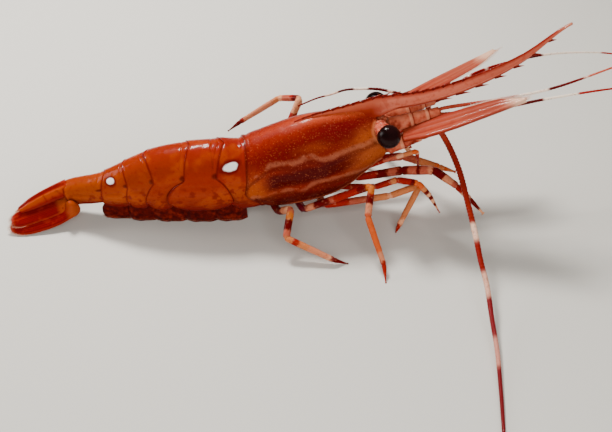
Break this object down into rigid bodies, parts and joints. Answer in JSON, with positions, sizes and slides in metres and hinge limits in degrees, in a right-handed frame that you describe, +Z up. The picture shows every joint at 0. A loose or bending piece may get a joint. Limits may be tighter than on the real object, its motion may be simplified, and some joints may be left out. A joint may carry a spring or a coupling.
{
  "type": "spot prawn model",
  "caption": "Still life-size spot prawn: carapace with saw-edged rostrum, ringed abdomen, tail fan, legs, feelers and long antennae, resting on its belly and legs.",
  "frame": {"origin": "on the floor plane, under the middle of the whole outline seen from above", "axes": "+X towards the head, +Y to the animal's left, +Z up; the floor is z = 0"},
  "size_m": [0.2104, 0.162, 0.0677],
  "materials": {
    "shell_red": "wet gloss shell, red-orange with pale pinkish stripes and dark maroon bands",
    "shell_orange": "wet gloss shell, amber orange with red mottling and dark red ring edges",
    "rostrum": "gloss, pink-orange with a dark red upper edge and pale teeth",
    "tail": "gloss deep red, ribbed, with pale setae along the rims",
    "scale": "satin pink-tan with red edges, cream towards the tip",
    "limb": "satin tan-pink with dark red bands",
    "feeler": "satin dark red with pale bands",
    "eye": "high gloss black",
    "flesh": "satin brown-red, slightly wrinkled"
  },
  "bodies": {
    "root": {"carapace": "shell_red", "rostrum": "rostrum", "head_front": "flesh", "thorax": "flesh", "eye_right": "eye", "eyestalk_right": "flesh", "antennule_stem_right": "limb", "antenna_stem_right": "scale", "antennal_scale_right": "scale", "eye_left": "eye", "eyestalk_left": "flesh", "antennule_stem_left": "limb", "antenna_stem_left": "scale", "antennal_scale_left": "scale", "little_whip_upper_right": "feeler", "little_whip_lower_right": "feeler", "little_whip_upper_left": "feeler", "little_whip_lower_left": "feeler", "telson": "tail", "antenna_whip_1_right": "feeler", "antenna_whip_2_right": "feeler", "antenna_whip_3_right": "feeler", "antenna_whip_1_left": "feeler", "antenna_whip_2_left": "feeler", "antenna_whip_3_left": "feeler", "abdomen_ring_1": "shell_red", "abdomen_ring_2": "shell_red", "abdomen_ring_3": "shell_orange", "abdomen_ring_4": "shell_orange", "abdomen_ring_5": "shell_orange", "abdomen_ring_6": "shell_orange", "tail_blade_inner_right": "tail", "tail_blade_outer_right": "tail", "swimmeret_1_right": "flesh", "swimmeret_2_right": "flesh", "swimmeret_3_right": "flesh", "swimmeret_4_right": "flesh", "swimmeret_5_right": "flesh", "tail_blade_inner_left": "tail", "tail_blade_outer_left": "tail", "swimmeret_1_left": "flesh", "swimmeret_2_left": "flesh", "swimmeret_3_left": "flesh", "swimmeret_4_left": "flesh", "swimmeret_5_left": "flesh", "walking_leg_5_right": "limb", "walking_leg_4_right": "limb", "walking_leg_3_right": "limb", "walking_leg_5_left": "limb", "walking_leg_4_left": "limb", "walking_leg_3_left": "limb", "front_leg_2_right": "limb", "front_leg_2_left": "limb", "front_leg_1_right": "limb", "front_leg_1_left": "limb", "jaw_leg_right": "limb", "jaw_leg_left": "limb"}
  },
  "joints": []
}
